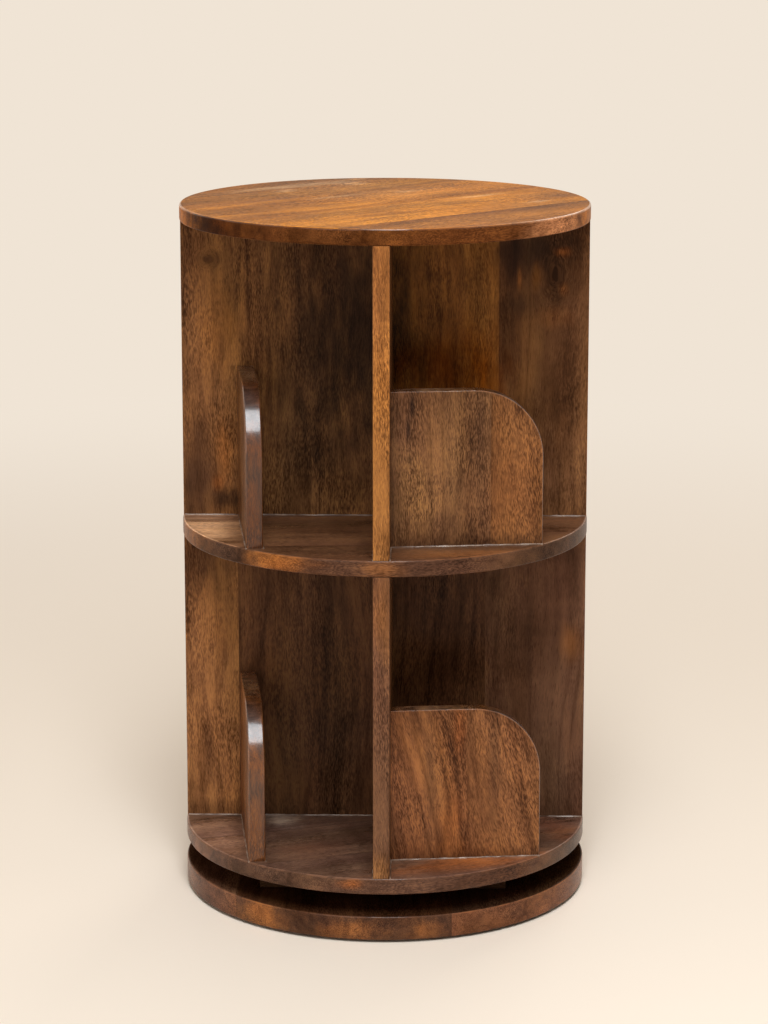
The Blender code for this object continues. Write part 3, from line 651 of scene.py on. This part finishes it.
upper_cross_finish = stained_wood(
    "upper_cross_finish", grain=UPRIGHT, across=(1, 0, 0), origin=(0, 0, 0.52), curl=0.4, streaks=0.9, flecks=0.65,
    clouds=1.0, lacquer=0.03, shine=0.05,
    calm=[((0.160, 0, 0.520), (0.30, 0.080, THROUGH), 0.75), ((-0.186, 0, 0.415), (0.09, 0.045, THROUGH), 0.6)],
    staves=[(FIRST_STAVE, tone(113, 75, 45)), (0.0, tone(142, 92, 45)), (0.111, tone(108, 71, 44))],
    patches=[((-0.170, 0, 0.630), (0.012, 0.014, THROUGH), tone(60, 38, 22), 0.5),
             ((-0.158, 0, 0.440), (0.040, 0.013, THROUGH), tone(156, 98, 48), 0.55),
             ((-0.157, 0, 0.392), (0.014, 0.022, THROUGH), tone(40, 24, 16), 0.85),
             ((-0.166, 0, 0.408), (0.010, 0.007, THROUGH), tone(160, 90, 36), 0.5),
             ((-0.160, 0, 0.555), (0.050, 0.030, THROUGH), tone(146, 94, 48), 0.4),
             ((-0.186, 0, 0.415), (0.055, 0.024, THROUGH), tone(66, 43, 31), 0.8),
             # Darker beside the upper divider and under the top panel: painted shade.
             ((-0.025, 0, 0.560), (0.160, 0.095, THROUGH), tone(38, 22, 13), 0.9),
             # Orange glow and dark just above the right bookend: painted warm bounce light and painted shade.
             ((0.078, 0, 0.545), (0.035, 0.035, THROUGH), tone(150, 86, 26), 0.6),
             ((0.050, 0, 0.520), (0.034, 0.050, THROUGH), tone(104, 44, 4), 0.6),
             ((0.097, 0, 0.520), (0.044, 0.026, THROUGH), tone(120, 56, 2), 0.75),
             ((0.150, 0, 0.535), (0.070, 0.036, THROUGH), tone(94, 58, 32), 0.5),
             ((0.036, 0, 0.520), (0.030, 0.006, THROUGH), tone(48, 28, 14), 0.6),
             ((0.124, 0, 0.625), (0.030, 0.012, THROUGH), tone(56, 34, 22), 0.7),
             ((0.145, 0, 0.645), (0.022, 0.045, THROUGH), tone(54, 34, 22), 0.8),
             ((0.138, 0, 0.628), (0.026, 0.024, THROUGH), tone(50, 32, 22), 0.6),
             ((0.129, 0, 0.586), (0.014, 0.018, THROUGH), tone(60, 40, 28), 0.6),
             ((0.131, 0, 0.612), (0.012, 0.003, THROUGH), tone(168, 104, 52), 0.6),
             ((0.148, 0, 0.614), (0.014, 0.007, THROUGH), tone(156, 98, 46), 0.6),
             ((0.172, 0, 0.638), (0.006, 0.009, THROUGH), tone(190, 112, 56), 0.7),
             ((0.174, 0, 0.602), (0.009, 0.006, THROUGH), tone(172, 104, 54), 0.6),
             ((0.166, 0, 0.575), (0.012, 0.022, THROUGH), tone(160, 100, 54), 0.35),
             ((0.180, 0, 0.430), (0.070, 0.030, THROUGH), tone(146, 98, 64), 0.7)],
    knots=[((0.166, 0, 0.618), (0.016, THROUGH, 0.027), 0.4),
           ((-0.172, 0, 0.630), (0.010, THROUGH, 0.008), 0.3)],
)
lower_cross_finish = stained_wood(
    "lower_cross_finish", grain=UPRIGHT, across=(1, 0, 0), origin=(0, 0, 0.21), curl=0.4, streaks=0.9, flecks=0.55,
    clouds=0.9, lacquer=0.03, shine=0.05,
    calm=[((0.165, 0, 0.210), (0.30, 0.085, THROUGH), 0.8)],
    staves=[(FIRST_STAVE, tone(135, 91, 56)), (-0.147, tone(86, 56, 36)), (0.0, tone(90, 59, 39)),
            (0.099, tone(107, 73, 53))],
    patches=[((0.185, 0, 0.245), (0.022, 0.012, THROUGH), tone(164, 104, 54), 0.5),
             ((0.178, 0, 0.090), (0.040, 0.030, THROUGH), tone(88, 60, 44), 0.5),
             # Darker at the top of the golden stave, under the middle shelf: painted shade.
             ((-0.175, 0, 0.335), (0.055, 0.050, THROUGH), tone(80, 52, 32), 0.85),
             ((-0.177, 0, 0.126), (0.036, 0.007, THROUGH), tone(82, 50, 30), 0.7),
             ((-0.176, 0, 0.070), (0.012, 0.060, THROUGH), tone(90, 58, 36), 0.6)],
)
upper_divider_finish = stained_wood(
    "upper_divider_finish", grain=UPRIGHT, across=(0, 1, 0), origin=(0.5, 0, 0.52), shine=0.05, lacquer=0.03,
    staves=[(FIRST_STAVE, tone(92, 58, 34)), (-0.09, tone(84, 54, 32)), (0.09, tone(96, 62, 36))],
)
lower_divider_finish = stained_wood(
    "lower_divider_finish", grain=UPRIGHT, across=(0, 1, 0), origin=(0.5, 0, 0.21), shine=0.05, lacquer=0.03,
    staves=[(FIRST_STAVE, tone(90, 58, 36)), (-0.09, tone(84, 54, 32)), (0.09, tone(96, 62, 36))],
)
upper_edge_finish = stained_wood(
    "upper_edge_finish", grain=UPRIGHT, across=(1, 0, 0), origin=(0, 0.3, 0.52), lacquer=0.15,
    staves=[(FIRST_STAVE, tone(152, 97, 50))],
    patches=[((0, -0.200, 0.545), (0.060, 0.014, THROUGH), tone(176, 113, 52), 0.6)],
)
lower_edge_finish = stained_wood(
    "lower_edge_finish", grain=UPRIGHT, across=(1, 0, 0), origin=(0, 0.3, 0.21), lacquer=0.15,
    staves=[(FIRST_STAVE, tone(108, 71, 50))],
    patches=[((0, -0.200, 0.320), (0.045, 0.014, THROUGH), tone(158, 104, 56), 0.6),
             ((0, -0.200, 0.072), (0.020, 0.014, THROUGH), tone(158, 104, 58), 0.6)],
)
for tier, floor_node, ceiling_node, cross_finish, divider_finish, edge_finish in (
    ("lower", "bottom_shelf", "middle_shelf", lower_cross_finish, lower_divider_finish, lower_edge_finish),
    ("upper", "middle_shelf", "top_panel", upper_cross_finish, upper_divider_finish, upper_edge_finish),
):
    for place, face_finish in (
        ("cross_wall", cross_finish), ("front_divider", divider_finish), ("back_divider", divider_finish)
    ):
        wall(f"{tier}_{place}_board", f"{tier}_{place}", floor_node, ceiling_node, face_finish, edge_finish)


# Bookends: low boards with one round upper corner, four to a tier in a pinwheel. Each is mitred to lie flat
# against its wall, stands a little out of square and is held by a dowel and a stub tongue.

WALL_FACE = 0.008
BOOKEND_TURN = math.radians(6.5)
BOOKEND_WAY = Vector((math.cos(BOOKEND_TURN), math.sin(BOOKEND_TURN), 0))
BOOKEND_START = Vector((WALL_FACE, -0.145104, 0))
BOOKEND_LONG = 0.1452
BOOKEND_THICK = 0.016
BOOKEND_HIGH = 0.150
BOOKEND_ROUND = 0.065
BOOKEND_ROUND_STEPS = 28
BOOKEND_ARRIS = 0.0014


def bookend(name, node, quarter, floor, face_finish, edge_finish):
    """A bookend that stands for a CAD node, a number of quarter turns on from the front right one."""
    size = Vector((BOOKEND_LONG, BOOKEND_THICK, BOOKEND_HIGH))
    bpy.ops.mesh.primitive_cube_add(size=1, location=size / 2, scale=size)
    board = bpy.context.object
    board.name = name
    bpy.ops.object.transform_apply(location=True, rotation=False, scale=True)
    for corner in board.data.vertices:
        if corner.co.x < TOUCH:
            corner.co.x = corner.co.y * math.tan(BOOKEND_TURN)

    def upper_corner(start, end):
        at_front = min(start.x, end.x) > BOOKEND_LONG - TOUCH
        return at_front and min(start.z, end.z) > BOOKEND_HIGH - TOUCH

    ease(board, upper_corner, BOOKEND_ROUND, BOOKEND_ROUND_STEPS)
    for mark in board.data.attributes["arris"].data:
        mark.value = 0.0

    def outline(start, end):
        same_side = abs(start.y - end.y) < TOUCH
        at_wall = max(start.x, end.x) < BOOKEND_THICK
        at_floor = max(start.z, end.z) < TOUCH
        return same_side and not at_wall and not at_floor

    ease(board, outline, BOOKEND_ARRIS)
    smooth(board)
    finish_board(board, face_finish, edge_finish, lambda normal: abs(normal.y) < EDGE_TILT)
    board.rotation_euler.z = BOOKEND_TURN
    board.location = BOOKEND_START + Vector((0, 0, floor))
    bpy.ops.object.transform_apply(location=True, rotation=True, scale=True)
    board.rotation_euler.z = quarter * math.pi / 2
    bpy.ops.object.transform_apply(location=True, rotation=True, scale=True)
    fit(board, node, "cabinet")


bookend_tones = {
    "upper": [(FIRST_STAVE, tone(111, 74, 48)), (-0.115, tone(115, 73, 42))],
    "lower": [(FIRST_STAVE, tone(126, 79, 49)), (-0.137, tone(121, 77, 47))],
}
bookend_edge_tones = {"upper": tone(82, 41, 8), "lower": tone(100, 54, 14)}
bookend_grains = {
    "upper": {"curl": 0.9, "bands": 0.4, "flecks": 0.75, "mottle": 0.5, "joint": 0.85},
    "lower": {"slant": 0.16, "bands": 0.8, "streaks": 1.0, "flecks": 0.7, "veins": 0.5, "joint": 0.35},
}
bookend_figures = {
    "upper": [(0.020, 0.138, (0.016, 0.0035), tone(40, 24, 18), 0.9),
              (0.0165, 0.112, (0.018, 0.003), tone(40, 24, 18), 0.85),
              (0.0175, 0.085, (0.009, 0.003), tone(52, 34, 22), 0.6),
              (0.084, 0.085, (0.080, 0.009), tone(84, 54, 36), 0.5),
              (0.020, 0.045, (0.060, 0.028), tone(136, 96, 56), 0.6),
              (0.120, 0.060, (0.060, 0.030), tone(136, 84, 46), 0.4),
              (0.075, 0.000, (0.012, 0.120), tone(56, 34, 24), 0.6)],
    "lower": [(0.066, 0.130, (0.032, 0.007), tone(156, 88, 46), 0.6),
              (0.058, 0.030, (0.050, 0.014), tone(146, 84, 42), 0.55),
              (0.038, 0.075, (0.055, 0.008), tone(74, 46, 32), 0.6),
              (0.100, 0.085, (0.080, 0.008), tone(80, 52, 34), 0.5),
              (0.075, 0.000, (0.010, 0.120), tone(56, 34, 24), 0.5)],
}
bookend_edge_painted_reflections = [
    # Pale along the top face: painted highlight.
    (0.040, 0.150, (0.004, 0.06), tone(128, 100, 80), 0.6),
    # Dark over the upper part of the rounded corner: painted dark reflection.
    (0.116, 0.142, (0.026, 0.036), tone(60, 44, 40), 0.85),
    # Dark band below the highlight on the front end: painted dark reflection.
    (0.146, 0.072, (0.022, 0.030), tone(58, 30, 10), 0.75),
]


BOOKEND_PATCH_DEPTH = 0.03


def place_bookend_patches(figures, start, width):
    """Patches of a bookend, from (distance along it, height, reach along and across the grain, tone, share): its
    grain figure on the faces, and painted highlights and reflections on the edges.
    """
    return [
        (start + width * along + Vector((0, 0, height)), (*reach, BOOKEND_PATCH_DEPTH), tint, share)
        for along, height, reach, tint, share in figures
    ]


SHELVES = {"lower": "bottom_shelf", "upper": "middle_shelf"}
PLANK_STEP = 0.3
for tier, shelf in SHELVES.items():
    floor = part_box(shelf)[1].z
    for quarter, place in enumerate(("front_right", "back_right", "back_left", "front_left")):
        turn = Matrix.Rotation(quarter * math.pi / 2, 3, "Z")
        width = turn @ BOOKEND_WAY
        origin = turn @ BOOKEND_START + width * (STAVE_SPAN / 2)
        origin.z = floor + PLANK_STEP * quarter
        bookend_grain = {"grain": UPRIGHT, "across": width, "origin": origin}
        corner = turn @ BOOKEND_START + Vector((0, 0, floor))
        face_finish = stained_wood(
            f"{tier}_bookend_{place}_finish", **bookend_grain, **bookend_grains[tier], lacquer=0.05,
            staves=bookend_tones[tier],
            patches=place_bookend_patches(bookend_figures[tier] if quarter == 0 else (), corner, width),
        )
        edge_finish = stained_wood(
            f"{tier}_bookend_{place}_edge_finish", **bookend_grain, streaks=1.6, flecks=0.8, clouds=1.0,
            shine=0.34, gloss=0.28, lacquer=0.5, staves=[(FIRST_STAVE, bookend_edge_tones[tier])],
            patches=place_bookend_patches(bookend_edge_painted_reflections, corner, width),
        )
        node = f"{tier}_bookend_{place}"
        bookend(f"{node}_board", node, quarter, floor, face_finish, edge_finish)


# Dowels: turned birch pegs, glued into walls, dividers and bookends. They are hidden in the boards, so
# their CAD nodes stay as they are and only get a plain wood finish.

for finish_name, grain, across, places in (
    ("dowel_finish_sideways", (1, 0, 0), (0, 1, 0), ("bookend_front_right", "bookend_back_left")),
    ("dowel_finish_endways", (0, 1, 0), (1, 0, 0),
     ("bookend_back_right", "bookend_front_left", "front_divider", "back_divider")),
):
    dowel_finish = stained_wood(
        finish_name, grain=grain, across=across, origin=(0, 0, 0), lacquer=0.0, flecks=0.5, veins=0.0,
        staves=[(FIRST_STAVE, tone(206, 180, 140))],
    )
    dress(dowel_finish, *(f"{tier}_{place}_dowel" for tier in ("lower", "upper") for place in places))


# Glue lines: a thin bead of glue and wax that has set pale in the corner where walls and bookends stand on
# a shelf. It was wiped off by hand, so it is uneven.

BEAD_RADIUS = 0.0009
BEAD_SIDES = 8
BEAD_STEP = 0.006
BEAD_UNEVENNESS = 0.0004
BEAD_SMOOTH_ANGLE = math.radians(60)


def bead(start, end, seed):
    """A bead from one point to another, thicker and thinner along its way."""
    run = end - start
    bpy.ops.mesh.primitive_cylinder_add(
        vertices=BEAD_SIDES, radius=BEAD_RADIUS, depth=run.length, location=(start + end) / 2,
        rotation=(0, math.pi / 2, math.atan2(run.y, run.x)),
    )
    strip = bpy.context.object
    bpy.ops.object.transform_apply(location=True, rotation=True, scale=True)
    choose_edges(strip, lambda first, last: (last - first).length > run.length / 2)
    bpy.ops.mesh.subdivide(number_cuts=int(run.length / BEAD_STEP))
    bpy.ops.mesh.select_all(action="SELECT")
    bpy.ops.transform.vertex_random(offset=BEAD_UNEVENNESS, uniform=1.0, seed=seed)
    bpy.ops.object.mode_set(mode="OBJECT")
    strip.select_set(False)
    return strip


glue_finish, glue, glue_shader, here = start_finish("glue_finish")
thick = noise(glue, here, (45, 45, 45), 3, 0.6).outputs[0]
specks = noise(glue, here, (700, 700, 700), 1).outputs[0]
glued = mix(glue, ramp(glue, thick, 0.34, 0.62), tone(84, 58, 43), tone(160, 138, 122))
glued = mix(glue, ramp(glue, specks, 0.5, 0.7, 0.0, 0.6), glued, tone(104, 78, 60))
glue.links.new(glued, glue_shader.inputs["Base Color"])
glue.links.new(ramp(glue, thick, 0.3, 0.7, 0.5, 0.28), glue_shader.inputs["Roughness"])
emboss(glue, glue_shader, specks, strength=0.2, depth=0.0003)

WALL_REACH = 0.1985
for tier, shelf in SHELVES.items():
    floor = Vector((0, 0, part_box(shelf)[1].z))
    strips = []
    for quarter in range(4):
        turn = Matrix.Rotation(quarter * math.pi / 2, 3, "Z")
        run = BOOKEND_WAY * BOOKEND_LONG
        behind = BOOKEND_THICK * Vector((-math.sin(BOOKEND_TURN), math.cos(BOOKEND_TURN), 0))
        behind += BOOKEND_WAY * BOOKEND_THICK * math.tan(BOOKEND_TURN)
        for start, end in (
            (Vector((-WALL_FACE, -WALL_REACH, 0)), Vector((-WALL_FACE, -WALL_FACE, 0))),
            (Vector((WALL_FACE, -WALL_REACH, 0)), Vector((WALL_FACE, -WALL_FACE, 0))),
            (BOOKEND_START, BOOKEND_START + run),
            (BOOKEND_START + behind, BOOKEND_START + run + behind),
        ):
            strips.append(bead(turn @ start + floor, turn @ end + floor, len(strips)))
    for strip in strips:
        strip.select_set(True)
    bpy.context.view_layer.objects.active = strips[0]
    bpy.ops.object.join()
    beads = bpy.context.object
    beads.name = f"{tier}_glue_lines"
    bpy.ops.object.shade_smooth_by_angle(angle=BEAD_SMOOTH_ANGLE)
    beads.data.materials.append(glue_finish)
    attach(beads, "cabinet")
    beads.select_set(False)


# Floor: a plain pale floor, which is not part of the object and keeps its shadow. Far from the object it fades
# into the pale backdrop, with no line between them.

FLOOR_SIZE = 30
FADE_START, FADE_END = 0.5, 2.6
bpy.ops.mesh.primitive_plane_add(size=FLOOR_SIZE)
floor_plane = bpy.context.object
floor_plane.name = "floor"
floor_finish, floor_tree, floor_shader, here = start_finish("floor_finish")
floor_shader.inputs["Base Color"].default_value = tone(250, 236, 220)
floor_shader.inputs["Roughness"].default_value = 0.6
BACKDROP = tone(240, 228, 213)


def seen_directly(tree):
    """1 for what the camera sees, also in a mirror or through glass, and 0 for light that falls on the object."""
    ray = add_node(tree, "ShaderNodeLightPath").outputs
    bent = calc(tree, "MAXIMUM", ray["Is Glossy Ray"], ray["Is Transmission Ray"])
    return calc(tree, "MAXIMUM", ray["Is Camera Ray"], bent)


far = ramp(floor_tree, calc_vector(floor_tree, "LENGTH", here), FADE_START, FADE_END)
haze = add_node(floor_tree, "ShaderNodeEmission", {"Color": BACKDROP, "Strength": 1.0}).outputs[0]
faded = add_node(
    floor_tree, "ShaderNodeMixShader",
    {0: calc(floor_tree, "MULTIPLY", far, seen_directly(floor_tree)), 1: floor_shader.outputs[0], 2: haze},
)
floor_tree.links.new(faded.outputs[0], floor_tree.nodes["Material Output"].inputs["Surface"])
floor_plane.data.materials.append(floor_finish)
floor_plane.select_set(False)


# Light: one soft box above the front, whose image is the highlight in the lacquer, weak ones from the left
# and from behind, and an even dome.

def soft_box(name, location, target, size, power, colour):
    """A rectangular lamp that faces a point."""
    lamp = bpy.data.lights.new(name, "AREA")
    lamp.shape = "RECTANGLE"
    lamp.size, lamp.size_y = size
    lamp.energy = power
    lamp.color = colour
    made = bpy.data.objects.new(name, lamp)
    made.location = location
    made.rotation_euler = (Vector(target) - Vector(location)).to_track_quat("-Z", "Y").to_euler()
    bpy.context.scene.collection.objects.link(made)


soft_box("key_box", (0.1, -1.55, 2.7), (-0.05, -0.1, 0.45), size=(0.8, 1.9), power=70, colour=(0.90, 0.955, 1.0))
soft_box("back_box", (1.2, 2.6, 2.4), (0, 0, 0.4), size=(1.4, 1.4), power=20, colour=(1.0, 0.95, 0.88))
soft_box("fill_box", (-1.6, -3.2, 1.3), (0, 0, 0.4), size=(1.6, 1.6), power=19, colour=(1.0, 0.94, 0.86))

DOME_LEVEL = 0.40
world = bpy.data.worlds.new("dome")
bpy.context.scene.world = world
world.use_nodes = True
dome = world.node_tree
level = calc(dome, "MULTIPLY_ADD", seen_directly(dome), 1.0 - DOME_LEVEL, DOME_LEVEL)
dome.nodes["Background"].inputs["Color"].default_value = BACKDROP
dome.links.new(level, dome.nodes["Background"].inputs["Strength"])


# Camera: three metres in front of the bookcase and higher than its top panel, on which it looks down a little.
# The shift only sets the object at its place in the frame.

LOOK_DOWN = math.radians(11.853)
LOOK_LEFT = math.radians(1.037)
camera = bpy.data.cameras.new("camera")
camera.lens = 110.34
camera.sensor_width = 36
camera.shift_y = -0.0488
viewer = bpy.data.objects.new("camera", camera)
viewer.location = (0.054, -3.0383, 1.0652)
viewer.rotation_euler = (math.pi / 2 - LOOK_DOWN, 0, LOOK_LEFT)
bpy.context.scene.collection.objects.link(viewer)
bpy.context.scene.camera = viewer
bpy.context.scene.view_settings.view_transform = "Standard"
